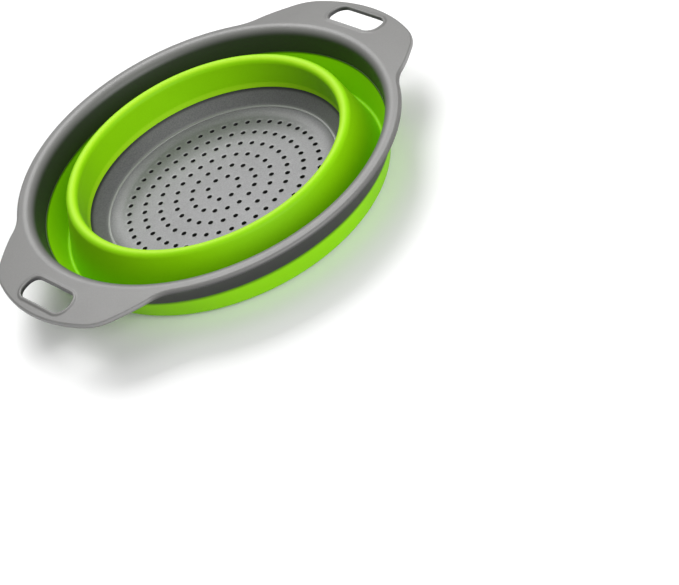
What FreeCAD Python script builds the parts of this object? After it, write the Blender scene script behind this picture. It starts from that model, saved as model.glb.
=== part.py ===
import FreeCAD, Part
import os
from math import acos, atan2, cos, hypot, pi, radians, sin, sqrt

# Folding two-handled colander, stored folded flat. Units are millimetres.
# +Z is up, +X runs through both handles, and the origin is on the bowl's axis at the
# plane the foot ring stands on. A rigid rim frame and a rigid strainer base are joined
# by one soft wall, drawn as three rings: the outer wall with the low fold, the middle
# wall that turns inside out, and the inner wall with the ridge fold.

# rim frame: the flange slopes down outwards and rolls over into a steep wall
RIM_R = 90.6
RIM_EDGE_Z = 27.8
FLANGE_SLOPE = 0.14
PLATE_T = 2.0
ROLL_CORNER_R = 83.26
ROLL_ROUND = 4.5
NECK_CORNER_R = 85.3
NECK_ROUND = 2.5

# lap joint between the rim's wall and the soft outer wall
RIM_LAP_IN_R = 80.85
RIM_LAP_MID_R = 81.75
RIM_LAP_TOP_Z = 16.5
RIM_TONGUE_IN_R = 81.1
RIM_TONGUE_OUT_R = 82.0
RIM_LAP_LOW_Z = 13.8

# handles: a wide lobe at each end of X with an oblong slot
EAR_TIP_X = 109.5
EAR_TIP_ARC_R = 77.4
EAR_SHOULDER_R = 22.8
EAR_FLANK_DEG = 29.5
EAR_FLANK_AT = (85.5, 45.7)
EAR_ROOT_ROUND = 25.0
EAR_ROOT_IN_R = 87.5
EAR_EDGE_ROUND = 0.7
SLOT_X = 98.7
SLOT_W = 11.4
SLOT_L = 31.2
SLOT_CORNER_R = 5.0
SLOT_LIP_W = 1.3
SLOT_LIP_H = 0.5

# soft wall: fold centres and section
WALL_T = 2.0
FOLD_R = 75.2
FOLD_Z = 4.0
FOLD_OUT = 3.0
FOLD_IN = FOLD_OUT - WALL_T
RIDGE_R = 64.6
RIDGE_Z = 25.0
RIDGE_OUT = 2.8
RIDGE_IN = RIDGE_OUT - WALL_T

# strainer base
BASE_LAP_LOW_Z = 11.8
BASE_LAP_TOP_Z = 14.2
BASE_TONGUE_IN_R = 62.9
BASE_RING_IN_R = 61.8
BASE_RING_OUT_R = 63.8
BASE_STEP_R = 54.0
BASE_STEP_Z = 6.1
BASE_CONE_FOOT_R = 54.6
FOOT_OUT_R = 57.2
FOOT_IN_R = 55.4
FOOT_ROUND = 0.5
DRAIN_T = 1.8
DRAIN_TOP_Z = 5.2
DRAIN_EDGE_TOP_Z = 4.2
DRAIN_FLAT_R = 3.0
DRAIN_COVE_R = 46.8
DRAIN_COVE_RISE = 1.65

# drain holes: six evenly spaced rings
HOLE_R = 1.12
HOLE_RING_STEP = 7.6
HOLE_COUNTS = (8, 16, 24, 32, 41, 49)
HOLE_PHASE_DEG = (-13.3, -13.3, -13.3, -13.3, -11.1, -11.5)


def vec(r, z):
    return FreeCAD.Vector(r, 0.0, z)


def rounded_wire(corners):
    """Closed wire in the XZ plane through (r, z, radius) corners, each one rounded."""
    count = len(corners)
    cuts = []
    for i in range(count):
        r, z, radius = corners[i]
        here = vec(r, z)
        before = vec(*corners[i - 1][:2])
        after = vec(*corners[(i + 1) % count][:2])
        back = (before - here).normalize()
        ahead = (after - here).normalize()
        half = back.getAngle(ahead) / 2.0
        if radius == 0.0:
            cuts.append((here, None, here))
            continue
        run = radius / (sin(half) / cos(half))
        centre_way = (back + ahead).normalize()
        middle = here + centre_way * (radius / sin(half) - radius)
        cuts.append((here + back * run, middle, here + ahead * run))
    edges = []
    for i in range(count):
        start, middle, end = cuts[i]
        if middle is not None:
            edges.append(Part.Arc(start, middle, end).toShape())
        following = cuts[(i + 1) % count][0]
        if (following - end).Length > 1e-6:
            edges.append(Part.makeLine(end, following))
    return Part.Wire(edges)


def turned(wire):
    """Solid of revolution about Z."""
    solid = Part.Face(wire).revolve(FreeCAD.Vector(0, 0, 0), FreeCAD.Vector(0, 0, 1), 360.0)
    return Part.Solid(solid) if solid.ShapeType == "Shell" else solid


def wall_normal(r1, z1, r2, z2, reach):
    """Unit normal of the line that passes both fold centres with its offsets summing to reach."""
    distance = hypot(r2 - r1, z2 - z1)
    ur = (r2 - r1) / distance
    uz = (z2 - z1) / distance
    along = reach / distance
    across = sqrt(1.0 - along * along)
    return vec(along * ur - across * uz, along * uz + across * ur)


def fold_normals():
    """Outward normals of the middle wall's valley face and of the outer wall's outside face."""
    middle = wall_normal(RIDGE_R, RIDGE_Z, FOLD_R, FOLD_Z, RIDGE_OUT + FOLD_IN)
    rise = vec(RIM_LAP_IN_R - FOLD_R, RIM_LAP_TOP_Z - FOLD_Z)
    turn = atan2(rise.z, rise.x) - acos(FOLD_IN / rise.Length)
    return middle, vec(cos(turn), sin(turn))


def arc_through(centre, radius, start, end):
    """Arc edge about a fold centre from one unit normal to another, the short way."""
    middle = (start + end).normalize()
    return Part.Arc(centre + start * radius, centre + middle * radius, centre + end * radius).toShape()


def outer_wall():
    """Soft outer wall with the low fold, from the rim's lap joint to the middle wall."""
    middle, outside = fold_normals()
    fold = vec(FOLD_R, FOLD_Z)
    down = vec(0.0, -1.0)
    left = middle * -1.0
    inner_foot = fold + outside * FOLD_IN
    outer_foot = fold + outside * FOLD_OUT
    lap = [
        inner_foot,
        vec(RIM_LAP_IN_R, RIM_LAP_TOP_Z),
        vec(RIM_LAP_MID_R, RIM_LAP_TOP_Z),
        vec(RIM_TONGUE_IN_R, RIM_LAP_LOW_Z),
        vec(RIM_TONGUE_OUT_R, RIM_LAP_LOW_Z),
        outer_foot,
    ]
    edges = [Part.makeLine(lap[i], lap[i + 1]) for i in range(len(lap) - 1)]
    edges.append(arc_through(fold, FOLD_OUT, outside, down))
    edges.append(arc_through(fold, FOLD_OUT, down, left))
    edges.append(Part.makeLine(fold + left * FOLD_OUT, fold + left * FOLD_IN))
    edges.append(arc_through(fold, FOLD_IN, left, down))
    edges.append(arc_through(fold, FOLD_IN, down, outside))
    return turned(Part.Wire(edges))


def middle_wall():
    """Soft cone between the two folds, the part that turns inside out."""
    middle = fold_normals()[0]
    fold = vec(FOLD_R, FOLD_Z)
    ridge = vec(RIDGE_R, RIDGE_Z)
    corners = [
        ridge + middle * RIDGE_OUT,
        fold - middle * FOLD_IN,
        fold - middle * FOLD_OUT,
        ridge + middle * RIDGE_IN,
    ]
    return turned(Part.makePolygon(corners + corners[:1]))


def inner_wall():
    """Soft inner wall with the ridge fold, from the base's lap joint to the middle wall."""
    middle = fold_normals()[0]
    ridge = vec(RIDGE_R, RIDGE_Z)
    up = vec(0.0, 1.0)
    left = vec(-1.0, 0.0)
    inside_foot = vec(RIDGE_R - RIDGE_OUT, BASE_LAP_LOW_Z)
    lap = [
        ridge + left * RIDGE_IN,
        vec(RIDGE_R - RIDGE_IN, BASE_LAP_TOP_Z),
        vec(BASE_TONGUE_IN_R, BASE_LAP_TOP_Z),
        vec(BASE_TONGUE_IN_R, BASE_LAP_LOW_Z),
        inside_foot,
        ridge + left * RIDGE_OUT,
    ]
    edges = [Part.makeLine(lap[i], lap[i + 1]) for i in range(len(lap) - 1)]
    edges.append(arc_through(ridge, RIDGE_OUT, left, up))
    edges.append(arc_through(ridge, RIDGE_OUT, up, middle))
    edges.append(Part.makeLine(ridge + middle * RIDGE_OUT, ridge + middle * RIDGE_IN))
    edges.append(arc_through(ridge, RIDGE_IN, middle, up))
    edges.append(arc_through(ridge, RIDGE_IN, up, left))
    return turned(Part.Wire(edges))


def base_ring():
    """Rigid sloping side of the strainer base with its lap tongue and foot ring."""
    cone_rise = BASE_LAP_LOW_Z - BASE_STEP_Z
    cone_run = BASE_RING_IN_R - BASE_CONE_FOOT_R
    slope = atan2(cone_rise, cone_run)
    offset = WALL_T / sin(slope)
    rate = cone_rise / cone_run
    outer_corner_z = BASE_LAP_LOW_Z + (BASE_RING_OUT_R - BASE_RING_IN_R - offset) * rate
    foot_top_z = BASE_LAP_LOW_Z + (FOOT_OUT_R - BASE_RING_IN_R - offset) * rate
    underside_z = DRAIN_EDGE_TOP_Z - DRAIN_T
    return turned(rounded_wire([
        (BASE_STEP_R, underside_z, 0.0),
        (FOOT_IN_R, underside_z, 0.0),
        (FOOT_IN_R, 0.0, FOOT_ROUND),
        (FOOT_OUT_R, 0.0, FOOT_ROUND),
        (FOOT_OUT_R, foot_top_z, 0.0),
        (BASE_RING_OUT_R, outer_corner_z, 1.0),
        (BASE_RING_OUT_R, BASE_LAP_TOP_Z, 0.0),
        (BASE_TONGUE_IN_R, BASE_LAP_TOP_Z, 0.0),
        (BASE_TONGUE_IN_R, BASE_LAP_LOW_Z, 0.0),
        (BASE_RING_IN_R, BASE_LAP_LOW_Z, 0.0),
        (BASE_CONE_FOOT_R, BASE_STEP_Z, 0.3),
        (BASE_STEP_R, BASE_STEP_Z, 0.25),
    ]))


def drain_top_z(r):
    """Height of the drain plate's top: a crown with a cove that rises to the step round it."""
    sag = DRAIN_TOP_Z - DRAIN_EDGE_TOP_Z
    run = (r - DRAIN_FLAT_R) / (BASE_STEP_R - DRAIN_FLAT_R)
    cove = max(0.0, r - DRAIN_COVE_R) / (BASE_STEP_R - DRAIN_COVE_R)
    return DRAIN_TOP_Z - sag * run * run + DRAIN_COVE_RISE * cove * cove


def drain_plate():
    """Crowned disc with the drain holes, flat inside the first ring of holes and coved at its edge."""
    edges = []
    for down in (0.0, DRAIN_T):
        for start, end in ((DRAIN_FLAT_R, DRAIN_COVE_R), (DRAIN_COVE_R, BASE_STEP_R)):
            bends = [vec(r, drain_top_z(r) - down) for r in (start, (start + end) / 2.0, end)]
            edges.append(Part.Arc(*bends).toShape())
        top_z = DRAIN_TOP_Z - down
        edges.append(Part.makeLine(vec(0, top_z), vec(DRAIN_FLAT_R, top_z)))
    for r, z in ((0, DRAIN_TOP_Z), (BASE_STEP_R, drain_top_z(BASE_STEP_R))):
        edges.append(Part.makeLine(vec(r, z), vec(r, z - DRAIN_T)))
    disc = turned(Part.Wire(Part.__sortEdges__(edges)))
    drills = []
    for ring, (count, phase) in enumerate(zip(HOLE_COUNTS, HOLE_PHASE_DEG), start=1):
        for i in range(count):
            angle = radians(phase) + 2.0 * pi * i / count
            at = FreeCAD.Vector(ring * HOLE_RING_STEP * cos(angle), ring * HOLE_RING_STEP * sin(angle), 0)
            drills.append(Part.makeCylinder(HOLE_R, 2.0 * DRAIN_TOP_Z, at))
    return disc.cut(Part.makeCompound(drills))


def polar(radius, angle):
    return FreeCAD.Vector(radius * cos(angle), radius * sin(angle), 0)


def arc_about(centre, radius, start, end):
    """Arc edge about a point in the XY plane between two angles in radians."""
    points = [centre + polar(radius, angle) for angle in (start, (start + end) / 2.0, end)]
    return Part.Arc(*points).toShape()


def ear_face():
    """Plan outline of one handle at +X, closed inside the flange."""
    flank = radians(90.0 - EAR_FLANK_DEG)
    normal = polar(1.0, flank)
    reach = normal.x * EAR_FLANK_AT[0] + normal.y * EAR_FLANK_AT[1]
    tip = FreeCAD.Vector(EAR_TIP_X - EAR_TIP_ARC_R, 0, 0)
    swing = acos((reach - EAR_SHOULDER_R - normal.dot(tip)) / (EAR_TIP_ARC_R - EAR_SHOULDER_R))
    tip_half = flank - swing
    shoulder = tip + polar(EAR_TIP_ARC_R - EAR_SHOULDER_R, tip_half)
    root_angle = flank - acos((reach + EAR_ROOT_ROUND) / (RIM_R + EAR_ROOT_ROUND))
    root = polar(RIM_R + EAR_ROOT_ROUND, root_angle)
    edges = []
    for side in (1.0, -1.0):
        flipped = FreeCAD.Vector(1, side, 1)
        shoulder_c = FreeCAD.Vector(shoulder.x, shoulder.y * flipped.y, 0)
        root_c = FreeCAD.Vector(root.x, root.y * flipped.y, 0)
        edges.append(arc_about(shoulder_c, EAR_SHOULDER_R, side * tip_half, side * flank))
        flank_start = shoulder_c + polar(EAR_SHOULDER_R, side * flank)
        flank_end = root_c - polar(EAR_ROOT_ROUND, side * flank)
        edges.append(Part.makeLine(flank_start, flank_end))
        edges.append(arc_about(root_c, EAR_ROOT_ROUND, side * (flank + pi), side * (root_angle + pi)))
        edges.append(Part.makeLine(polar(RIM_R, side * root_angle), polar(EAR_ROOT_IN_R, side * root_angle)))
    edges.append(arc_about(tip, EAR_TIP_ARC_R, -tip_half, tip_half))
    edges.append(arc_about(FreeCAD.Vector(0, 0, 0), EAR_ROOT_IN_R, -root_angle, root_angle))
    return Part.Face(Part.Wire(Part.__sortEdges__(edges)))


def flange_z(r):
    """Height of the flange's top face, which carries on over the handles."""
    return RIM_EDGE_Z - FLANGE_SLOPE * (r - RIM_R)


def flange_band(lift):
    """Sloping plate of revolution that the handles are cut from, raised by a lift."""
    inside = EAR_ROOT_IN_R - 1.0
    outside = EAR_TIP_X + 1.0
    low = PLATE_T * sqrt(1.0 + FLANGE_SLOPE * FLANGE_SLOPE)
    return turned(Part.makePolygon([
        vec(inside, flange_z(inside) + lift),
        vec(outside, flange_z(outside) + lift),
        vec(outside, flange_z(outside) - low),
        vec(inside, flange_z(inside) - low),
        vec(inside, flange_z(inside) + lift),
    ]))


def oblong(grow):
    """Rounded upright block centred on a handle's slot, grown by a margin on every side."""
    half_x = SLOT_W / 2.0 + grow
    half_y = SLOT_L / 2.0 + grow
    height = 2.0 * RIM_EDGE_Z
    corner = FreeCAD.Vector(SLOT_X - half_x, -half_y, 0)
    block = Part.makeBox(2.0 * half_x, 2.0 * half_y, height, corner)
    uprights = [e for e in block.Edges if e.BoundBox.ZLength > height / 2.0]
    return block.makeFillet(SLOT_CORNER_R + grow, uprights)


def ear():
    """One handle plate at +X with its slot and the raised lip round the slot."""
    outline = ear_face().extrude(FreeCAD.Vector(0, 0, 2.0 * RIM_EDGE_Z))
    plate = flange_band(0.0).common(outline)
    lip = flange_band(SLOT_LIP_H).common(oblong(SLOT_LIP_W))
    return plate.fuse(lip).cut(oblong(0.0))


def on_handle_edge(edge):
    """True on the long top and bottom edges round the flange and the handles."""
    mid = edge.valueAt((edge.FirstParameter + edge.LastParameter) / 2.0)
    r = hypot(mid.x, mid.y)
    depth = flange_z(r) - mid.z
    low = PLATE_T * sqrt(1.0 + FLANGE_SLOPE * FLANGE_SLOPE)
    level = min(abs(depth), abs(depth - low))
    beside_slot = abs(abs(mid.x) - SLOT_X) < SLOT_W and abs(mid.y) < SLOT_L / 2.0 + 2.0 * SLOT_LIP_W
    return level < 0.01 and r > RIM_R - 0.01 and edge.Length > 2.0 * PLATE_T and not beside_slot


def rim_frame():
    """Rigid flange and conical wall in one piece with both handles."""
    low = PLATE_T * sqrt(1.0 + FLANGE_SLOPE * FLANGE_SLOPE)
    ring = turned(rounded_wire([
        (ROLL_CORNER_R, flange_z(ROLL_CORNER_R), ROLL_ROUND),
        (RIM_R, RIM_EDGE_Z, 0.0),
        (RIM_R, RIM_EDGE_Z - low, 0.0),
        (NECK_CORNER_R, flange_z(NECK_CORNER_R) - low, NECK_ROUND),
        (RIM_TONGUE_OUT_R, RIM_LAP_LOW_Z, 0.0),
        (RIM_TONGUE_IN_R, RIM_LAP_LOW_Z, 0.0),
        (RIM_LAP_MID_R, RIM_LAP_TOP_Z, 0.0),
        (RIM_LAP_IN_R, RIM_LAP_TOP_Z, 0.0),
    ]))
    right = ear()
    left = right.copy()
    left.rotate(FreeCAD.Vector(0, 0, 0), FreeCAD.Vector(0, 0, 1), 180.0)
    frame = ring.fuse([right, left]).removeSplitter()
    return frame.makeFillet(EAR_EDGE_ROUND, [e for e in frame.Edges if on_handle_edge(e)])


NODES = {
    "rim_frame": rim_frame,
    "outer_wall": outer_wall,
    "middle_wall": middle_wall,
    "inner_wall": inner_wall,
    "base_ring": base_ring,
    "drain_plate": drain_plate,
}

os.makedirs("parts", exist_ok=True)
for name, make in NODES.items():
    shape = make()
    solid = shape.Solids[0] if len(shape.Solids) == 1 else shape
    print(name, len(shape.Solids), shape.isValid(), round(shape.Volume, 1), shape.BoundBox)
    solid.exportStep(os.path.join("parts", name + ".step"))
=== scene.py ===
import bpy
import bmesh
from math import acos, atan2, ceil, cos, hypot, pi, radians, sin, sqrt, tan
from mathutils import Matrix, Vector


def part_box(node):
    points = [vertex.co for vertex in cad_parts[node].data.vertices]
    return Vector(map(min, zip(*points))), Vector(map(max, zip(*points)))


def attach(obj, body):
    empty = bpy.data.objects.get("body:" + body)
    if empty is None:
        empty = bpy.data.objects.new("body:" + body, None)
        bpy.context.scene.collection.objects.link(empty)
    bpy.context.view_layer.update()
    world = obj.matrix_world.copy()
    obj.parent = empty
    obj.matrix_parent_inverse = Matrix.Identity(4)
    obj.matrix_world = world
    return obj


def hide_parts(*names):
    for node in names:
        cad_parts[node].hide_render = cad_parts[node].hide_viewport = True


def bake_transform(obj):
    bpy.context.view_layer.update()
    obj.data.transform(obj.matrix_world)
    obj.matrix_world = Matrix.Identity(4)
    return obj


# Looks of a folding colander, folded flat: one mesh per sub-part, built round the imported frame.
# Lengths are in millimetres until a mesh is made, and MM turns them into metres. Light, camera
# and floor sizes are in metres.
# +Z is up, +X runs through both handles, z = 0 is the plane the foot ring stands on.

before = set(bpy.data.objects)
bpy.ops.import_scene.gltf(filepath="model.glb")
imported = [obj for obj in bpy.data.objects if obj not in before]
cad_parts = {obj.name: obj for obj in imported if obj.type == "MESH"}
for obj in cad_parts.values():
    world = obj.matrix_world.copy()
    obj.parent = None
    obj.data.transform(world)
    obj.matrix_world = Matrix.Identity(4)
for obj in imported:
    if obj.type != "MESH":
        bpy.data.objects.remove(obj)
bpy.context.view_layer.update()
MM = 0.001


def node_mm(name):
    """Lowest and highest corner of a CAD node, in millimetres."""
    low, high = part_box(name)
    return low / MM, high / MM


# ---------------------------------------------------------------- driving dimensions
EAR_TIP_X = node_mm("rim_frame")[1].x
RIM_R = 90.6
RIM_EDGE_Z = 27.8
FLANGE_SLOPE = 0.14
PLATE_T = 2.0
PLATE_DROP = PLATE_T * sqrt(1.0 + FLANGE_SLOPE * FLANGE_SLOPE)
ROLL_CORNER_R = 83.26
ROLL_ROUND = 4.5
NECK_CORNER_R = 85.3
NECK_ROUND = 2.5
EAR_EDGE_ROUND = 0.8
RIM_EDGE_ROUND = 1.25
UNDER_EDGE_ROUND = 0.45

RIM_LAP_IN_R = 80.85
RIM_LAP_MID_R = 81.75
RIM_LAP_TOP_Z = 16.5
RIM_TONGUE_IN_R = 81.1
RIM_TONGUE_OUT_R = 82.0
RIM_LAP_LOW_Z = node_mm("rim_frame")[0].z

EAR_TIP_ARC_R = 77.4
EAR_SHOULDER_R = 22.8
EAR_FLANK = radians(90.0 - 29.5)
EAR_FLANK_AT = (85.5, 45.7)
EAR_ROOT_ROUND = 25.0
SLOT_X = 98.7
SLOT_W = 11.4
SLOT_L = 31.2
SLOT_CORNER_R = 5.0
SLOT_LIP_W = 1.3
SLOT_LIP_H = 0.4

WALL_T = 2.0
FOLD_R = 75.2
FOLD_Z = 4.0
FOLD_OUT = 3.0
FOLD_IN = FOLD_OUT - WALL_T
RIDGE_R = 64.6
RIDGE_Z = 25.0
RIDGE_OUT = 2.8
RIDGE_IN = RIDGE_OUT - WALL_T
CREST_LEAN = 0.7

BASE_LAP_LOW_Z = node_mm("inner_wall")[0].z
BASE_LAP_TOP_Z = node_mm("base_ring")[1].z
BASE_TONGUE_IN_R = 62.9
BASE_RING_IN_R = 61.8
BASE_RING_OUT_R = 63.8
BASE_STEP_R = 54.0
BASE_STEP_Z = 6.1
BASE_CONE_FOOT_R = 54.6
FOOT_OUT_R = 57.2
FOOT_IN_R = 55.4
FOOT_ROUND = 0.5
DRAIN_T = 1.8
DRAIN_TOP_Z = 5.2
DRAIN_EDGE_TOP_Z = 4.2
DRAIN_FLAT_R = 3.0
DRAIN_COVE_R = 46.8
DRAIN_COVE_RISE = 1.65

FLARE_IN = 0.45
FLARE_DROP = 0.15
FLARE_RISE = 2.6

HOLE_R = 1.12
HOLE_RING_STEP = 7.6
HOLE_COUNTS = (8, 16, 24, 32, 41, 49)
HOLE_PHASES = tuple(radians(a) for a in (-13.3, -13.3, -13.3, -13.3, -11.1, -11.5))

# painted shade and painted highlight: how strongly each place's colour is toned, above 0 darker for painted
# shade, below 0 paler for painted highlight
PAINTED_SHADE_NECK = 0.86
PAINTED_SHADE_RIM_EDGE = 0.84
PAINTED_HIGHLIGHT_HANDLE_EDGE = 0.45
PAINTED_SHADE_SLOT_WALL = 0.95
PAINTED_SHADE_RIM_JOINT_OUT = 0.8
PAINTED_SHADE_RIM_JOINT_IN = 0.9
PAINTED_HIGHLIGHT_CREST = 0.65
PAINTED_HIGHLIGHT_WALL_FOOT = 0.40
PAINTED_SHADE_BASE_JOINT = 0.97
PAINTED_HIGHLIGHT_BASE_STEP = 0.8
PAINTED_HIGHLIGHT_HOLE_BRIM = -0.22

SEGMENTS = 360
ARC_STEP = radians(9.0)
FOLD_ARC_STEP = radians(3.0)
SUPPORT = 0.15
LONGEST_STEP = 1.0


# ---------------------------------------------------------------- mesh helpers
def make_mesh(name, points, faces, body=None, tones=None):
    """Object from points in millimetres, with doubled points merged and hard corners marked sharp.

    Each point's tone, from -1 for painted highlight to 1 for painted shade, goes to the attribute tone.
    """
    mesh = bpy.data.meshes.new(name)
    mesh.from_pydata([(x * MM, y * MM, z * MM) for x, y, z in points], [], faces)
    if tones:
        mesh.attributes.new("tone", "FLOAT", "POINT").data.foreach_set("value", tones)
    bm = bmesh.new()
    bm.from_mesh(mesh)
    bmesh.ops.remove_doubles(bm, verts=bm.verts, dist=2e-6)
    bmesh.ops.dissolve_degenerate(bm, edges=bm.edges, dist=1e-7)
    bm.normal_update()
    for face in bm.faces:
        face.smooth = True
    for edge in bm.edges:
        if edge.is_boundary or edge.calc_face_angle(0.0) > radians(38.0):
            edge.smooth = False
    bm.to_mesh(mesh)
    bm.free()
    obj = bpy.data.objects.new(name, mesh)
    bpy.context.scene.collection.objects.link(obj)
    if body:
        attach(obj, body)
    return obj


def outward(obj):
    """Turns a closed mesh's faces outwards."""
    bm = bmesh.new()
    bm.from_mesh(obj.data)
    bmesh.ops.recalc_face_normals(bm, faces=bm.faces)
    bm.to_mesh(obj.data)
    bm.free()
    return obj


def rounded(corners, closed=True):
    """Section points (r, z) from corners (r, z, radius): arcs at round corners, supports beside them."""
    count = len(corners)
    runs = []
    for i, (r, z, radius) in enumerate(corners):
        here = Vector((r, z))
        ends = not closed and i in (0, count - 1)
        if radius == 0.0 or ends:
            runs.append([here])
            continue
        before = (Vector(corners[i - 1][:2]) - here).normalized()
        after = (Vector(corners[(i + 1) % count][:2]) - here).normalized()
        half = before.angle(after) / 2.0
        centre = here + (before + after).normalized() * (radius / sin(half))
        start = here + before * (radius / tan(half)) - centre
        turn = pi - 2.0 * half
        side = 1.0 if start.x * after.y - start.y * after.x > 0.0 else -1.0
        steps = max(3, ceil(turn / ARC_STEP))
        runs.append([centre + turned(start, side * turn * k / steps) for k in range(steps + 1)])
    points = []
    for i, run in enumerate(runs):
        points.extend(run)
        if closed or i < count - 1:
            points.extend(between(run[-1], runs[(i + 1) % count][0]))
    return points


def turned(v, angle):
    return Vector((v.x * cos(angle) - v.y * sin(angle), v.x * sin(angle) + v.y * cos(angle)))


def between(a, b):
    """Points inside a straight run: one close to each end, the rest evenly spread."""
    length = (b - a).length
    if length < 4.0 * SUPPORT:
        return []
    along = (b - a) / length
    inner = length - 2.0 * SUPPORT
    steps = max(1, ceil(inner / LONGEST_STEP))
    return [a + along * (SUPPORT + inner * k / steps) for k in range(steps + 1)]


def arc_points(centre, radius, start, end):
    """Arc points about a centre from one unit normal to another, the short way."""
    angle = start.angle_signed(end)
    steps = max(3, ceil(abs(angle) / FOLD_ARC_STEP))
    return [centre + turned(start, -angle * k / steps) * radius for k in range(steps + 1)]


def revolve(name, section, body=None, closed=True, tone=None):
    """Solid of revolution about Z from a section in (r, z), with a tone as a function of (r, z)."""
    points = []
    tones = [tone(p.x, p.y) for p in section] * SEGMENTS if tone else None
    faces = []
    rows = len(section)
    for i in range(SEGMENTS):
        c = cos(2.0 * pi * i / SEGMENTS)
        s = sin(2.0 * pi * i / SEGMENTS)
        points.extend((p.x * c, p.x * s, p.y) for p in section)
    for i in range(SEGMENTS):
        this = i * rows
        after = ((i + 1) % SEGMENTS) * rows
        for j in range(rows if closed else rows - 1):
            k = (j + 1) % rows
            faces.append((this + j, after + j, after + k, this + k))
    obj = make_mesh(name, points, faces, body, tones)
    return outward(obj) if closed else obj


def ease(low, high, value):
    """0 at low, 1 at high and a smooth S between them, whichever of the two is larger."""
    t = max(0.0, min(1.0, (value - low) / (high - low)))
    return t * t * (3.0 - 2.0 * t)


# ---------------------------------------------------------------- rim frame with its handles
def flange_z(r):
    """Height of the flange's top face, which carries on over the handles."""
    return RIM_EDGE_Z - FLANGE_SLOPE * (r - RIM_R)


def ear_outline():
    """Half of the plan outline, y >= 0, as (angle, r, normal angle) in order of polar angle."""
    reach = cos(EAR_FLANK) * EAR_FLANK_AT[0] + sin(EAR_FLANK) * EAR_FLANK_AT[1]
    tip = EAR_TIP_X - EAR_TIP_ARC_R
    swing = acos((reach - EAR_SHOULDER_R - cos(EAR_FLANK) * tip) / (EAR_TIP_ARC_R - EAR_SHOULDER_R))
    tip_half = EAR_FLANK - swing
    shoulder = Vector((tip, 0.0)) + turned(Vector((EAR_TIP_ARC_R - EAR_SHOULDER_R, 0.0)), tip_half)
    root_angle = EAR_FLANK - acos((reach + EAR_ROOT_ROUND) / (RIM_R + EAR_ROOT_ROUND))
    root = turned(Vector((RIM_R + EAR_ROOT_ROUND, 0.0)), root_angle)
    spans = (
        (Vector((tip, 0.0)), EAR_TIP_ARC_R, 0.0, tip_half),
        (shoulder, EAR_SHOULDER_R, tip_half, EAR_FLANK),
        (root, -EAR_ROOT_ROUND, EAR_FLANK, root_angle),
    )
    fine = 160
    outline = []
    for centre, radius, start, end in spans:
        for k in range(fine + 1):
            normal = start + (end - start) * k / fine
            at = centre + turned(Vector((radius, 0.0)), normal)
            outline.append((atan2(at.y, at.x), at.length, normal))
    return outline


def outline_at(outline, angle):
    """Radius and normal angle of the plan outline at a polar angle from 0 to 90 degrees."""
    last = outline[-1][0]
    if angle >= last:
        return RIM_R, angle
    for (a0, r0, n0), (a1, r1, n1) in zip(outline, outline[1:]):
        if a0 <= angle <= a1 and a1 > a0:
            t = (angle - a0) / (a1 - a0)
            return r0 + (r1 - r0) * t, n0 + (n1 - n0) * t
    return RIM_R, angle


def folded(outline, angle):
    """Outline at any polar angle, by the object's two mirror planes."""
    c = cos(angle)
    s = sin(angle)
    r, n = outline_at(outline, atan2(abs(s), abs(c)))
    return r, Vector((cos(n) * (1.0 if c >= 0.0 else -1.0), sin(n) * (1.0 if s >= 0.0 else -1.0)))


RIM_COLUMNS = 600
FLANGE_ROWS = 24
PATCH_HALF = 22
PATCH_FROM = 3
PATCH_TO = 23


def edge_steps(top_round):
    """Rows round the plate's edge as (inset from the outline, depth under the top face)."""
    steps = [(top_round + SUPPORT, 0.0)]
    turns = 6
    for k in range(turns + 1):
        a = pi / 2.0 * k / turns
        steps.append((top_round * (1.0 - sin(a)), top_round * (1.0 - cos(a))))
    for k in range(turns + 1):
        a = pi / 2.0 * k / turns
        steps.append((UNDER_EDGE_ROUND * (1.0 - cos(a)), PLATE_DROP - UNDER_EDGE_ROUND * (1.0 - sin(a))))
    steps.append((UNDER_EDGE_ROUND + SUPPORT, PLATE_DROP))
    return steps


def slot_loop(grow, count):
    """Slot outline grown by a margin, as count points in step with the slot's own perimeter."""
    flat_y = SLOT_L - 2.0 * SLOT_CORNER_R
    flat_x = SLOT_W - 2.0 * SLOT_CORNER_R
    bend = pi / 2.0 * SLOT_CORNER_R
    spans = []
    corner_x = SLOT_W / 2.0 - SLOT_CORNER_R
    corner_y = SLOT_L / 2.0 - SLOT_CORNER_R
    half = flat_y / 2.0
    spans.append(("line", half, Vector((SLOT_W / 2.0, 0.0)), pi / 2.0))
    spans.append(("bend", bend, Vector((corner_x, corner_y)), 0.0))
    spans.append(("line", flat_x, Vector((corner_x, SLOT_L / 2.0)), pi))
    spans.append(("bend", bend, Vector((-corner_x, corner_y)), pi / 2.0))
    spans.append(("line", flat_y, Vector((-SLOT_W / 2.0, corner_y)), 1.5 * pi))
    spans.append(("bend", bend, Vector((-corner_x, -corner_y)), pi))
    spans.append(("line", flat_x, Vector((-corner_x, -SLOT_L / 2.0)), 0.0))
    spans.append(("bend", bend, Vector((corner_x, -corner_y)), 1.5 * pi))
    spans.append(("line", half, Vector((SLOT_W / 2.0, -corner_y)), pi / 2.0))
    total = sum(span[1] for span in spans)
    loop = []
    for i in range(count):
        left = total * i / count
        for kind, length, at, heading in spans:
            if left <= length + 1e-9:
                break
            left -= length
        if kind == "line":
            normal = turned(Vector((1.0, 0.0)), heading - pi / 2.0)
            point = at + turned(Vector((left, 0.0)), heading)
        else:
            normal = turned(Vector((1.0, 0.0)), heading + left / SLOT_CORNER_R)
            point = at + normal * SLOT_CORNER_R
        loop.append(Vector((SLOT_X, 0.0)) + point + normal * grow)
    return loop


def patch_loop(grid):
    """Edge of the plate's patch round a slot, from the outer side's middle, in order of angle."""
    loop = [grid[i][PATCH_TO] for i in range(0, PATCH_HALF)]
    loop += [grid[PATCH_HALF][j] for j in range(PATCH_TO, PATCH_FROM, -1)]
    loop += [grid[i][PATCH_FROM] for i in range(PATCH_HALF, -PATCH_HALF, -1)]
    loop += [grid[-PATCH_HALF][j] for j in range(PATCH_FROM, PATCH_TO)]
    loop += [grid[i][PATCH_TO] for i in range(-PATCH_HALF, 0)]
    return loop


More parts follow.
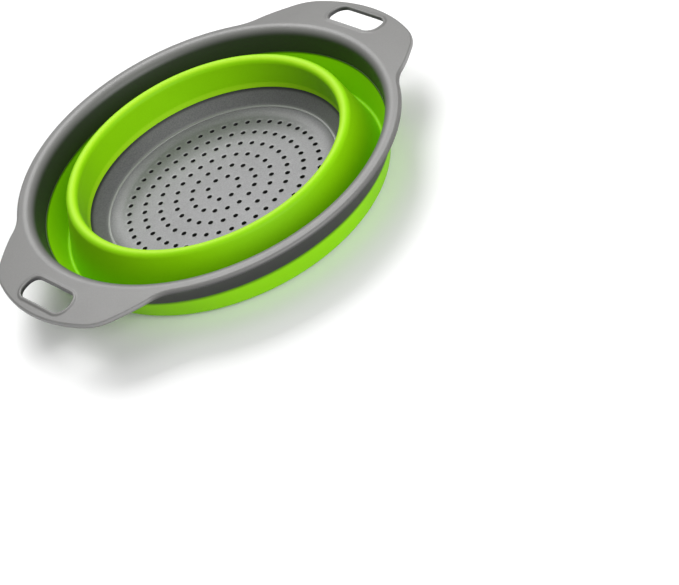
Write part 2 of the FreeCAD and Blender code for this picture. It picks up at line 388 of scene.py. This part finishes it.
def slot_rings(top, under):
    """Loops from the top patch edge over the raised lip and through the slot to the under patch edge."""
    count = len(top)
    lip = SLOT_LIP_W
    rise = SLOT_LIP_H
    deep = PLATE_DROP
    over = (
        (lip + 0.75, 0.0), (lip + 0.55, 0.01), (lip + 0.35, 0.05), (lip + 0.15, 0.13), (lip - 0.05, 0.25),
        (lip - 0.25, rise - 0.07), (lip - 0.45, rise - 0.02), (lip - 0.65, rise),
        (0.4, rise), (0.2, rise - 0.05), (0.06, rise - 0.18), (0.0, rise - 0.38),
        (0.0, rise - 0.8), (0.0, 0.6 - deep), (0.0, 0.4 - deep), (0.06, 0.18 - deep), (0.2, 0.05 - deep),
        (0.4, -deep), (0.6, -deep),
    )
    middle = []
    for grow, up in over:
        loop = slot_loop(grow, count)
        middle.append([(p.x, p.y, flange_z(p.length) + up) for p in loop])
    easing = 5
    rings = []
    tones = []
    for k in range(easing):
        t = k / easing
        rings.append([spread(a, b, t, 0.0) for a, b in zip(top, middle[0])])
        tones.append(0.0)
    rings += middle
    # painted shade down the slot's inner walls
    for grow, up in over:
        tones.append(PAINTED_SHADE_SLOT_WALL * ease(rise - 0.25, rise - 0.9, up) if grow < 0.3 else 0.0)
    for k in range(1, easing + 1):
        t = k / easing
        rings.append([spread(a, b, t, -deep) for a, b in zip(middle[-1], under)])
        tones.append(0.0)
    return rings, tones


def spread(a, b, t, up):
    """Point between two on the plate's sloping face."""
    x = a[0] + (b[0] - a[0]) * t
    y = a[1] + (b[1] - a[1]) * t
    return (x, y, flange_z(hypot(x, y)) + up)


def rim_frame():
    """Flange, conical wall and both handles in one mesh: rows of the section round the axis."""
    outline = ear_outline()
    inside = rounded([
        (RIM_TONGUE_IN_R, RIM_LAP_LOW_Z, 0.0),
        (RIM_LAP_MID_R, RIM_LAP_TOP_Z, 0.0),
        (RIM_LAP_IN_R, RIM_LAP_TOP_Z, 0.12),
        (ROLL_CORNER_R, flange_z(ROLL_CORNER_R), ROLL_ROUND),
        (RIM_R, RIM_EDGE_Z, 0.0),
    ], closed=False)
    outside = rounded([
        (RIM_TONGUE_IN_R, RIM_LAP_LOW_Z, 0.0),
        (RIM_TONGUE_OUT_R, RIM_LAP_LOW_Z, 0.12),
        (NECK_CORNER_R, flange_z(NECK_CORNER_R) - PLATE_DROP, NECK_ROUND),
        (RIM_R, RIM_EDGE_Z - PLATE_DROP, 0.0),
    ], closed=False)
    # the flange's own rows vary round the rim, so these stop where the flange's flat starts
    roll_end = next(k for k, p in enumerate(inside) if abs(p.y - flange_z(p.x)) < 1e-3)
    neck_end = next(k for k, p in enumerate(outside) if abs(p.y - flange_z(p.x) + PLATE_DROP) < 1e-3)
    inside = inside[:roll_end + 1]
    outside = outside[1:neck_end + 1][::-1]
    inside_r = inside[-1].x + SUPPORT
    under_r = outside[0].x + SUPPORT
    rings = []
    tones = []
    top_rows = []
    under_rows = []
    # painted shade: the funnel's inside is darkened below the roll, and the neck under the flange is
    # darkened, more so further down
    inside_tone = [ease(RIM_EDGE_Z + 0.3, RIM_EDGE_Z - 3.2, p.y) for p in inside]
    below = [ease(RIM_EDGE_Z - 4.0, RIM_EDGE_Z - 12.0, p.y) for p in outside]
    outside_tone = [PAINTED_SHADE_NECK + (1.0 - PAINTED_SHADE_NECK) * share for share in below]
    for i in range(RIM_COLUMNS):
        angle = 2.0 * pi * i / RIM_COLUMNS
        radius, normal = folded(outline, angle)
        ray = Vector((cos(angle), sin(angle)))
        brink = ray * radius
        top = []
        under = []
        on_ring = ease(5.0, 0.0, radius - RIM_R)
        steps = edge_steps(EAR_EDGE_ROUND + (RIM_EDGE_ROUND - EAR_EDGE_ROUND) * on_ring)
        shore = brink - normal * steps[0][0]
        under_shore = brink - normal * steps[-1][0]
        for k in range(FLANGE_ROWS + 1):
            t = k / FLANGE_ROWS
            p = ray * inside_r * (1.0 - t) + shore * t
            q = ray * under_r * (1.0 - t) + under_shore * t
            top.append((p.x, p.y, flange_z(p.length)))
            under.append((q.x, q.y, flange_z(q.length) - PLATE_DROP))
        edge = []
        for inset, depth in steps[1:-1]:
            p = brink - normal * inset
            edge.append((p.x, p.y, flange_z(p.length) - depth))
        top_rows.append(top)
        under_rows.append(under)
        fixed_in = [(p.x * ray.x, p.x * ray.y, p.y) for p in inside]
        fixed_out = [(p.x * ray.x, p.x * ray.y, p.y) for p in outside]
        rings.append(fixed_in + top + edge + under[::-1] + fixed_out)
        # painted shade on the flange's side face round the ring and on the plate's underside, and a painted
        # highlight along the handles' edges
        top_tone = [0.0] * (FLANGE_ROWS + 1)
        edge_tone = []
        for inset, depth in steps[1:-1]:
            painted_highlight_amount = PAINTED_HIGHLIGHT_HANDLE_EDGE * (1.0 - on_ring) * ease(0.0, 0.25, depth) * ease(1.3, 0.6, depth)
            edge_tone.append(PAINTED_SHADE_RIM_EDGE * on_ring * ease(0.1, 1.7, depth) - painted_highlight_amount)
        last = edge_tone[-1]
        under_tone = [last + (PAINTED_SHADE_NECK - last) * ease(6.0, 0.0, k) for k in range(FLANGE_ROWS, -1, -1)]
        tones += inside_tone + top_tone + edge_tone + under_tone + outside_tone
    rows = len(rings[0])
    points = [p for ring in rings for p in ring]
    top_from = roll_end + 1
    under_to = top_from + FLANGE_ROWS + 1 + len(steps) - 2 + FLANGE_ROWS
    faces = []
    for i in range(RIM_COLUMNS):
        near = (i + PATCH_HALF) % (RIM_COLUMNS // 2) < 2 * PATCH_HALF
        for j in range(rows):
            on_top = top_from + PATCH_FROM <= j < top_from + PATCH_TO
            on_under = under_to - PATCH_TO <= j < under_to - PATCH_FROM
            if near and (on_top or on_under):
                continue
            k = (j + 1) % rows
            after = (i + 1) % RIM_COLUMNS
            faces.append((i * rows + j, after * rows + j, after * rows + k, i * rows + k))
    loops, loop_tones = slot_rings(patch_loop(top_rows), patch_loop(under_rows))
    for side in (1.0, -1.0):
        base = len(points)
        count = len(loops[0])
        for loop, loop_tone in zip(loops, loop_tones):
            points.extend((side * x, side * y, z) for x, y, z in loop)
            tones += [loop_tone] * count
        for j in range(len(loops) - 1):
            for i in range(count):
                k = (i + 1) % count
                a = base + j * count
                b = a + count
                faces.append((a + i, a + k, b + k, b + i))
    obj = outward(make_mesh("rim_frame_shell", points, faces, "rim", tones))
    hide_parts("rim_frame")
    return obj


# ---------------------------------------------------------------- soft wall
def wall_normal(r1, z1, r2, z2, reach):
    """Unit normal of the line that passes both fold centres with its offsets summing to reach."""
    distance = hypot(r2 - r1, z2 - z1)
    ur = (r2 - r1) / distance
    uz = (z2 - z1) / distance
    along = reach / distance
    across = sqrt(1.0 - along * along)
    return Vector((along * ur - across * uz, along * uz + across * ur))


RIDGE = Vector((RIDGE_R, RIDGE_Z))
FOLD = Vector((FOLD_R, FOLD_Z))
UP = Vector((0.0, 1.0))
LEFT = Vector((-1.0, 0.0))
MIDDLE_OUT = wall_normal(RIDGE_R, RIDGE_Z, FOLD_R, FOLD_Z, RIDGE_OUT + FOLD_IN)


def outer_wall_out():
    """Outward normal of the outer wall's outside face."""
    rise = Vector((RIM_LAP_IN_R, RIM_LAP_TOP_Z)) - FOLD
    turn = atan2(rise.y, rise.x) - acos(FOLD_IN / rise.length)
    return Vector((cos(turn), sin(turn)))


def outer_tone(r, z):
    """Painted shade: the wall's colour is darkened where it meets the rim, inside and outside."""
    lean = (RIM_TONGUE_OUT_R - FOLD_R - FOLD_OUT) / (RIM_LAP_LOW_Z - FOLD_Z)
    middle_r = RIM_TONGUE_IN_R + lean * (z - RIM_LAP_LOW_Z)
    if r > middle_r:
        return PAINTED_SHADE_RIM_JOINT_OUT * ease(RIM_LAP_LOW_Z - 2.4, RIM_LAP_LOW_Z - 0.3, z)
    return PAINTED_SHADE_RIM_JOINT_IN * ease(RIM_LAP_TOP_Z - 1.0, RIM_LAP_TOP_Z - 0.1, z)


def outer_wall():
    """Soft outer wall with the low fold."""
    outside = outer_wall_out()
    down = -UP
    left = -MIDDLE_OUT
    lap = rounded([
        (*(FOLD + outside * FOLD_IN), 0.0),
        (RIM_LAP_IN_R, RIM_LAP_TOP_Z, 0.12),
        (RIM_LAP_MID_R, RIM_LAP_TOP_Z, 0.0),
        (RIM_TONGUE_IN_R, RIM_LAP_LOW_Z, 0.0),
        (RIM_TONGUE_OUT_R, RIM_LAP_LOW_Z, 0.12),
        (*(FOLD + outside * FOLD_OUT), 0.0),
    ], closed=False)
    section = lap
    section += arc_points(FOLD, FOLD_OUT, outside, down)[1:]
    section += arc_points(FOLD, FOLD_OUT, down, left)[1:]
    section += arc_points(FOLD, FOLD_IN, left, down)
    section += arc_points(FOLD, FOLD_IN, down, outside)[1:-1]
    obj = revolve("outer_soft_wall", section, "rim", tone=outer_tone)
    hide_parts("outer_wall")
    return obj


def middle_wall():
    """Soft cone between the folds: a sheet on its food side, thickened by a Solidify modifier."""
    top = RIDGE + MIDDLE_OUT * RIDGE_OUT
    foot = FOLD - MIDDLE_OUT * FOLD_IN
    rows = 32
    section = [top + (foot - top) * k / rows for k in range(rows + 1)]
    obj = revolve("middle_soft_wall", section[::-1], closed=False)
    obj.data.validate()
    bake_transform(obj)
    thick = obj.modifiers.new("thickness", "SOLIDIFY")
    thick.thickness = WALL_T * MM
    thick.offset = -1.0
    thick.use_even_offset = True
    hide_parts("middle_wall")
    return obj


def inner_tone(r, z):
    """Painted highlight: the wall's colour is paler along the ridge's crest and at its foot."""
    crest = atan2(RIDGE_R - CREST_LEAN - r, z - RIDGE_Z)
    paler = PAINTED_HIGHLIGHT_CREST * ease(radians(50.0), radians(12.0), abs(crest)) * ease(RIDGE_Z - 1.0, RIDGE_Z, z)
    foot = PAINTED_HIGHLIGHT_WALL_FOOT * ease(BASE_LAP_LOW_Z + 3.2, BASE_LAP_LOW_Z + 1.4, z)
    return -paler - foot


def inner_wall():
    """Soft inner wall with the ridge fold."""
    inside_r = RIDGE_R - RIDGE_OUT
    lap = rounded([
        (RIDGE_R - RIDGE_IN, RIDGE_Z, 0.0),
        (RIDGE_R - RIDGE_IN, BASE_LAP_TOP_Z, 0.0),
        (BASE_TONGUE_IN_R, BASE_LAP_TOP_Z, 0.0),
        (BASE_TONGUE_IN_R, BASE_LAP_LOW_Z, 0.0),
        (inside_r, BASE_LAP_LOW_Z, 0.0),
        (inside_r - FLARE_IN, BASE_LAP_LOW_Z - FLARE_DROP, 0.1),
        (inside_r - FLARE_IN, BASE_LAP_LOW_Z + 0.15, 0.15),
        (inside_r, BASE_LAP_LOW_Z + FLARE_RISE, 3.0),
        (inside_r, RIDGE_Z, 0.0),
    ], closed=False)
    section = lap
    section += arc_points(RIDGE, RIDGE_OUT, LEFT, UP)[1:]
    section += arc_points(RIDGE, RIDGE_OUT, UP, MIDDLE_OUT)[1:]
    section += arc_points(RIDGE, RIDGE_IN, MIDDLE_OUT, UP)
    section += arc_points(RIDGE, RIDGE_IN, UP, LEFT)[1:-1]
    obj = revolve("inner_soft_wall", section, "strainer", tone=inner_tone)
    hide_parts("inner_wall")
    return obj


# ---------------------------------------------------------------- strainer base
def base_tone(r, z):
    """Painted highlight on the step round the drain disc, and painted shade at the joint under the soft
    wall.
    """
    step = ease(BASE_CONE_FOOT_R + 0.8, BASE_CONE_FOOT_R + 0.2, r)
    step *= ease(BASE_STEP_Z - 0.9, BASE_STEP_Z - 0.4, z)
    joint = ease(BASE_LAP_LOW_Z - 1.5, BASE_LAP_LOW_Z - 0.4, z)
    return PAINTED_SHADE_BASE_JOINT * joint - PAINTED_HIGHLIGHT_BASE_STEP * step


def base_ring():
    """Sloping side of the base with its lap tongue and foot ring."""
    cone_rise = BASE_LAP_LOW_Z - BASE_STEP_Z
    cone_run = BASE_RING_IN_R - BASE_CONE_FOOT_R
    rate = cone_rise / cone_run
    offset = WALL_T / sin(atan2(cone_rise, cone_run))
    outer_corner_z = BASE_LAP_LOW_Z + (BASE_RING_OUT_R - BASE_RING_IN_R - offset) * rate
    foot_top_z = BASE_LAP_LOW_Z + (FOOT_OUT_R - BASE_RING_IN_R - offset) * rate
    underside_z = DRAIN_EDGE_TOP_Z - DRAIN_T
    section = rounded([
        (BASE_STEP_R, underside_z, 0.0),
        (FOOT_IN_R, underside_z, 0.3),
        (FOOT_IN_R, 0.0, FOOT_ROUND),
        (FOOT_OUT_R, 0.0, FOOT_ROUND),
        (FOOT_OUT_R, foot_top_z, 0.4),
        (BASE_RING_OUT_R, outer_corner_z, 1.0),
        (BASE_RING_OUT_R, BASE_LAP_TOP_Z, 0.2),
        (BASE_TONGUE_IN_R, BASE_LAP_TOP_Z, 0.0),
        (BASE_TONGUE_IN_R, BASE_LAP_LOW_Z, 0.0),
        (BASE_RING_IN_R, BASE_LAP_LOW_Z, 0.12),
        (BASE_CONE_FOOT_R + 0.25, BASE_STEP_Z, 0.3),
        (BASE_CONE_FOOT_R, BASE_STEP_Z + 0.2, 0.3),
        (BASE_STEP_R, BASE_STEP_Z + 0.1, 0.35),
    ])
    obj = revolve("strainer_base_ring", section, "strainer", tone=base_tone)
    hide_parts("base_ring")
    return obj


CELL_SIDE = 6
CELL_ROWS = 2
CELL_GAP = 0.35
HOLE_EDGE = 0.14
HOLE_UNDER_EDGE = 0.1


def drain_z(r):
    """Height of the drain plate's crowned top face."""
    sag = DRAIN_TOP_Z - DRAIN_EDGE_TOP_Z
    half_run = (BASE_STEP_R - DRAIN_FLAT_R) / 2.0
    ball = (sag * sag + 4.0 * half_run * half_run) / (2.0 * sag)
    reach = max(0.0, r - DRAIN_FLAT_R)
    cove = max(0.0, r - DRAIN_COVE_R) / (BASE_STEP_R - DRAIN_COVE_R)
    return DRAIN_TOP_Z - (ball - sqrt(ball * ball - reach * reach)) + DRAIN_COVE_RISE * cove * cove


def hole_cell(ring, index):
    """Boundary of one hole's polar cell, and the matching directions of its hole, as plan points."""
    count = HOLE_COUNTS[ring]
    middle = HOLE_PHASES[ring] + 2.0 * pi * index / count
    half = pi / count
    r = (ring + 1) * HOLE_RING_STEP
    low = r - 0.5 * HOLE_RING_STEP + CELL_GAP
    high = r + 0.5 * HOLE_RING_STEP - CELL_GAP
    loop = []
    for k in range(CELL_SIDE):
        loop.append((high, middle - half + 2.0 * half * k / CELL_SIDE))
    for k in range(CELL_SIDE):
        loop.append((high + (low - high) * k / CELL_SIDE, middle + half))
    for k in range(CELL_SIDE):
        loop.append((low, middle + half - 2.0 * half * k / CELL_SIDE))
    for k in range(CELL_SIDE):
        loop.append((low + (high - low) * k / CELL_SIDE, middle - half))
    edge = [Vector((a * cos(t), a * sin(t))) for a, t in loop]
    centre = Vector((r * cos(middle), r * sin(middle)))
    start = middle - pi / 4.0
    spokes = [start + 2.0 * pi * k / len(edge) for k in range(len(edge))]
    return edge, centre, spokes


def hole_points(edge, centre, spokes):
    """Loops of one hole's cell from its top boundary through the hole to its under boundary."""
    rows = []
    brim = [centre + turned(Vector((HOLE_R + HOLE_EDGE, 0.0)), a) for a in spokes]
    for k in range(CELL_ROWS):
        t = k / CELL_ROWS
        rows.append([(a + (b - a) * t, 0.0) for a, b in zip(edge, brim)])
    turns = 3
    for k in range(turns + 1):
        a = pi / 2.0 * k / turns
        r = HOLE_R + HOLE_EDGE * (1.0 - sin(a))
        rows.append([(centre + turned(Vector((r, 0.0)), s), HOLE_EDGE * (1.0 - cos(a))) for s in spokes])
    wall = [centre + turned(Vector((HOLE_R, 0.0)), s) for s in spokes]
    rim = [centre + turned(Vector((HOLE_R + HOLE_UNDER_EDGE, 0.0)), s) for s in spokes]
    rows.append([(p, DRAIN_T - HOLE_UNDER_EDGE) for p in wall])
    rows.append([(p, DRAIN_T) for p in rim])
    for k in range(1, CELL_ROWS + 1):
        t = k / CELL_ROWS
        rows.append([(a + (b - a) * t, DRAIN_T) for a, b in zip(rim, edge)])
    # painted shade down each hole's wall, and a painted highlight ring at its brim
    shades = [ease(HOLE_EDGE * 0.4, HOLE_EDGE * 1.2, row[0][1]) for row in rows]
    shades[CELL_ROWS] = PAINTED_HIGHLIGHT_HOLE_BRIM
    return [[(p.x, p.y, drain_z(p.length) - depth) for p, depth in row] for row in rows], shades


def stitch(points, faces, inner, outer, depth):
    """Triangle strip between two closed circles of unlike counts, each given as (r, count, phase)."""
    rings = []
    for r, count, phase in (inner, outer):
        base = len(points)
        z = drain_z(r) - depth
        points.extend((r * cos(phase + 2.0 * pi * k / count), r * sin(phase + 2.0 * pi * k / count), z)
                      for k in range(count))
        rings.append((base, count, phase))
    (base_a, count_a, phase_a), (base_b, count_b, phase_b) = rings
    # the first step of the outer circle that is level with the inner circle's first point
    shift = round((phase_a - phase_b) / (2.0 * pi) * count_b)
    i = 0
    j = 0
    while i < count_a or j < count_b:
        next_a = phase_a + 2.0 * pi * (i + 1) / count_a
        next_b = phase_b + 2.0 * pi * (j + 1 + shift) / count_b
        a = base_a + i % count_a
        b = base_b + (j + shift) % count_b
        if j >= count_b or (i < count_a and next_a <= next_b):
            faces.append((a, base_a + (i + 1) % count_a, b))
            i += 1
        else:
            faces.append((a, base_b + (j + 1 + shift) % count_b, b))
            j += 1


def drain_plate():
    """Crowned disc with real drain holes: a cell of faces round each hole, stitched between the rings."""
    points = []
    faces = []
    tones = []
    for ring, count in enumerate(HOLE_COUNTS):
        for index in range(count):
            rows, shades = hole_points(*hole_cell(ring, index))
            base = len(points)
            size = len(rows[0])
            for row, shade in zip(rows, shades):
                points.extend(row)
                tones += [shade] * size
            for j in range(len(rows) - 1):
                for i in range(size):
                    k = (i + 1) % size
                    a = base + j * size
                    b = a + size
                    faces.append((a + i, a + k, b + k, b + i))
    for depth in (0.0, DRAIN_T):
        for ring, count in enumerate(HOLE_COUNTS):
            phase = HOLE_PHASES[ring] - pi / count
            low = (ring + 0.5) * HOLE_RING_STEP + CELL_GAP
            high = (ring + 1.5) * HOLE_RING_STEP - CELL_GAP
            if ring == 0:
                stitch(points, faces, (low * 0.5, count * 3, phase), (low, count * CELL_SIDE, phase), depth)
                hub = len(points)
                points.append((0.0, 0.0, drain_z(0.0) - depth))
                hub_count = count * 3
                first = len(points)
                points.extend((low * 0.5 * cos(phase + 2.0 * pi * k / hub_count),
                               low * 0.5 * sin(phase + 2.0 * pi * k / hub_count),
                               drain_z(low * 0.5) - depth) for k in range(hub_count))
                faces.extend((hub, first + k, first + (k + 1) % hub_count) for k in range(hub_count))
            if ring < len(HOLE_COUNTS) - 1:
                after = HOLE_COUNTS[ring + 1]
                outer = (high + 2.0 * CELL_GAP, after * CELL_SIDE, HOLE_PHASES[ring + 1] - pi / after)
                stitch(points, faces, (high, count * CELL_SIDE, phase), outer, depth)
            else:
                last_count = count * CELL_SIDE
                last_phase = phase
                last_high = high
    margin = 12
    rows = []
    for k in range(margin + 1):
        rows.append((last_high + (BASE_STEP_R - last_high) * k / margin, 0.0))
    rows.append((BASE_STEP_R, DRAIN_T))
    for k in range(margin - 1, -1, -1):
        rows.append((last_high + (BASE_STEP_R - last_high) * k / margin, DRAIN_T))
    base = len(points)
    turns = [last_phase + 2.0 * pi * k / last_count for k in range(last_count)]
    for r, depth in rows:
        points.extend((r * cos(a), r * sin(a), drain_z(r) - depth) for a in turns)
    for j in range(len(rows) - 1):
        for i in range(last_count):
            k = (i + 1) % last_count
            a = base + j * last_count
            b = a + last_count
            faces.append((a + i, a + k, b + k, b + i))
    tones += [0.0] * (len(points) - len(tones))
    obj = outward(make_mesh("strainer_drain_plate", points, faces, "strainer", tones))
    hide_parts("drain_plate")
    return obj


# ---------------------------------------------------------------- materials
def node(tree, kind, place, **settings):
    made = tree.nodes.new(kind)
    made.location = place
    for key, value in settings.items():
        if key in made.inputs:
            made.inputs[key].default_value = value
        else:
            setattr(made, key, value)
    return made


def plastic(name, base, dark, light, rough, grain_mm, grain_depth, speckle, specular, wall, painted_highlight_colour):
    """Moulded plastic: cloudy colour, fine speckle, uneven gloss and a fine moulded grain.

    Where a point's tone is 1 the colour turns to wall, a painted shade colour; where it is -1, to the last
    colour argument, a painted highlight colour.
    """
    material = bpy.data.materials.new(name)
    material.use_nodes = True
    tree = material.node_tree
    tree.nodes.clear()
    out = node(tree, "ShaderNodeOutputMaterial", (900, 0))
    shader = node(tree, "ShaderNodeBsdfPrincipled", (600, 0))
    tree.links.new(shader.outputs["BSDF"], out.inputs["Surface"])
    shader.inputs["Specular IOR Level"].default_value = specular
    shader.inputs["IOR"].default_value = 1.49
    where = node(tree, "ShaderNodeTexCoord", (-900, 0))
    cloud = node(tree, "ShaderNodeTexNoise", (-650, 250), Scale=22.0, Detail=3.0, Roughness=0.55)
    tree.links.new(where.outputs["Object"], cloud.inputs["Vector"])
    tint = node(tree, "ShaderNodeValToRGB", (-430, 250))
    tint.color_ramp.elements[0].position = 0.3
    tint.color_ramp.elements[0].color = (*dark, 1.0)
    tint.color_ramp.elements[1].position = 0.7
    tint.color_ramp.elements[1].color = (*light, 1.0)
    middle = tint.color_ramp.elements.new(0.5)
    middle.color = (*base, 1.0)
    tree.links.new(cloud.outputs["Fac"], tint.inputs["Fac"])
    dots = node(tree, "ShaderNodeTexNoise", (-650, 0), Scale=1500.0, Detail=2.0, Roughness=0.6)
    tree.links.new(where.outputs["Object"], dots.inputs["Vector"])
    dim = node(tree, "ShaderNodeMapRange", (-430, 0))
    dim.inputs["From Min"].default_value = 0.3
    dim.inputs["From Max"].default_value = 0.7
    dim.inputs["To Min"].default_value = 1.0 - speckle
    dim.inputs["To Max"].default_value = 1.0 + speckle
    tree.links.new(dots.outputs["Fac"], dim.inputs["Value"])
    mix = node(tree, "ShaderNodeMix", (-150, 200), data_type="RGBA", blend_type="MULTIPLY")
    mix.inputs["Factor"].default_value = 1.0
    tree.links.new(tint.outputs["Color"], mix.inputs["A"])
    tree.links.new(dim.outputs["Result"], mix.inputs["B"])
    # painted shade and painted highlight: the tone attribute mixes the colour towards the painted shade
    # colour and the painted highlight colour
    tone = node(tree, "ShaderNodeAttribute", (-430, 650), attribute_name="tone")
    darker = node(tree, "ShaderNodeMix", (150, 400), data_type="RGBA")
    darker.inputs["B"].default_value = (*wall, 1.0)
    tree.links.new(tone.outputs["Fac"], darker.inputs["Factor"])
    tree.links.new(mix.outputs["Result"], darker.inputs["A"])
    painted_highlight_amount = node(tree, "ShaderNodeMath", (-80, 650), operation="MULTIPLY")
    painted_highlight_amount.inputs[1].default_value = -1.0
    tree.links.new(tone.outputs["Fac"], painted_highlight_amount.inputs[0])
    lighter = node(tree, "ShaderNodeMix", (330, 500), data_type="RGBA")
    lighter.inputs["B"].default_value = (*painted_highlight_colour, 1.0)
    tree.links.new(painted_highlight_amount.outputs["Value"], lighter.inputs["Factor"])
    tree.links.new(darker.outputs["Result"], lighter.inputs["A"])
    tree.links.new(lighter.outputs["Result"], shader.inputs["Base Color"])
    gloss = node(tree, "ShaderNodeTexNoise", (-650, -250), Scale=90.0, Detail=4.0, Roughness=0.6)
    tree.links.new(where.outputs["Object"], gloss.inputs["Vector"])
    vary = node(tree, "ShaderNodeMapRange", (-430, -250))
    vary.inputs["To Min"].default_value = rough - 0.05
    vary.inputs["To Max"].default_value = rough + 0.07
    tree.links.new(gloss.outputs["Fac"], vary.inputs["Value"])
    tree.links.new(vary.outputs["Result"], shader.inputs["Roughness"])
    grain = node(
        tree, "ShaderNodeTexNoise", (-650, -500), Scale=1000.0 / grain_mm, Detail=2.0, Roughness=0.5)
    tree.links.new(where.outputs["Object"], grain.inputs["Vector"])
    bump = node(tree, "ShaderNodeBump", (300, -300), Strength=0.35, Distance=grain_depth * MM)
    tree.links.new(grain.outputs["Fac"], bump.inputs["Height"])
    tree.links.new(bump.outputs["Normal"], shader.inputs["Normal"])
    return material


# ---------------------------------------------------------------- stage, light and camera
VIEW_AZIMUTH = radians(-28.98)
VIEW_ELEVATION = radians(38.93)
VIEW_ROLL = radians(-24.46)
VIEW_DISTANCE = 1.0976
AIM_RIGHT = 0.0503
AIM_DOWN = 0.0433
LENS = 129.6
CENTRE = Vector((0.0, 0.0, 0.0))
FLOOR_RADIUS = 20.0
FLOOR_COLOUR = (0.90, 0.90, 0.90, 1.0)
SURROUND_STRENGTH = 0.25


def camera():
    """Camera that looks down on the bowl from beyond its front edge, rolled so that the bowl tips left."""
    back = Vector((
        sin(VIEW_AZIMUTH) * cos(VIEW_ELEVATION),
        -cos(VIEW_AZIMUTH) * cos(VIEW_ELEVATION),
        sin(VIEW_ELEVATION),
    ))
    level = (-back).to_track_quat("-Z", "Y").to_matrix()
    turn = level @ Matrix.Rotation(VIEW_ROLL, 3, "Z")
    data = bpy.data.cameras.new("camera")
    data.lens = LENS
    data.sensor_width = 36.0
    data.clip_start = 0.05
    data.clip_end = 40.0
    cam = bpy.data.objects.new("camera", data)
    aim = turn @ Vector((AIM_RIGHT, -AIM_DOWN, 0.0))
    cam.matrix_world = Matrix.Translation(aim + back * VIEW_DISTANCE) @ turn.to_4x4()
    bpy.context.scene.collection.objects.link(cam)
    bpy.context.scene.camera = cam


def area_light(name, place, size, power):
    """White soft light that points at the middle of the bowl's foot."""
    data = bpy.data.lights.new(name, "AREA")
    data.shape = "RECTANGLE"
    data.size = size[0]
    data.size_y = size[1]
    data.energy = power
    lamp = bpy.data.objects.new(name, data)
    lamp.location = place
    lamp.rotation_euler = (CENTRE - Vector(place)).to_track_quat("-Z", "Y").to_euler()
    bpy.context.scene.collection.objects.link(lamp)


def studio():
    """Pale floor, three large soft lights (behind, overhead, in front) and a pale surround."""
    bpy.ops.mesh.primitive_circle_add(vertices=96, radius=FLOOR_RADIUS, fill_type="NGON")
    floor = bpy.context.object
    floor.name = "floor"
    material = bpy.data.materials.new("floor_paint")
    material.use_nodes = True
    shader = material.node_tree.nodes["Principled BSDF"]
    shader.inputs["Base Color"].default_value = FLOOR_COLOUR
    shader.inputs["Roughness"].default_value = 0.9
    shader.inputs["Specular IOR Level"].default_value = 0.1
    floor.data.materials.append(material)
    area_light("back_softbox", place=(0.50, 0.90, 1.23), size=(1.0, 1.0), power=25.0)
    area_light("overhead", place=(0.0, 0.0, 1.6), size=(1.2, 1.2), power=5.0)
    area_light("front_fill", place=(-0.10, -1.5, 0.75), size=(1.6, 1.2), power=27.0)
    world = bpy.data.worlds.new("surround")
    world.use_nodes = True
    world.node_tree.nodes["Background"].inputs["Color"].default_value = (1.0, 1.0, 1.0, 1.0)
    world.node_tree.nodes["Background"].inputs["Strength"].default_value = SURROUND_STRENGTH
    bpy.context.scene.world = world
    bpy.context.scene.view_settings.view_transform = "Standard"
    bpy.context.scene.view_settings.look = "None"


def build():
    # in each material, wall is the painted shade colour and the last colour the painted highlight colour
    grey = plastic(
        "frame_plastic_grey", base=(0.142, 0.141, 0.136), dark=(0.133, 0.132, 0.127),
        light=(0.151, 0.150, 0.145), rough=0.43, grain_mm=0.35, grain_depth=0.02, speckle=0.05,
        specular=0.52, wall=(0.016, 0.015, 0.017), painted_highlight_colour=(0.30, 0.30, 0.30))
    base_grey = plastic(
        "base_plastic_grey", base=(0.097, 0.095, 0.101), dark=(0.090, 0.088, 0.094),
        light=(0.104, 0.102, 0.108), rough=0.40, grain_mm=0.30, grain_depth=0.03, speckle=0.22,
        specular=0.6, wall=(0.006, 0.006, 0.006), painted_highlight_colour=(0.26, 0.26, 0.26))
    green = plastic(
        "soft_wall_green", base=(0.228, 0.560, 0.0), dark=(0.217, 0.540, 0.0),
        light=(0.239, 0.580, 0.0), rough=0.50, grain_mm=0.5, grain_depth=0.015, speckle=0.02,
        specular=0.14, wall=(0.02, 0.06, 0.0), painted_highlight_colour=(0.40, 0.66, 0.02))
    rim_frame().data.materials.append(grey)
    outer_wall().data.materials.append(green)
    middle_wall().data.materials.append(green)
    inner_wall().data.materials.append(green)
    base_ring().data.materials.append(base_grey)
    drain_plate().data.materials.append(base_grey)


build()
studio()
camera()
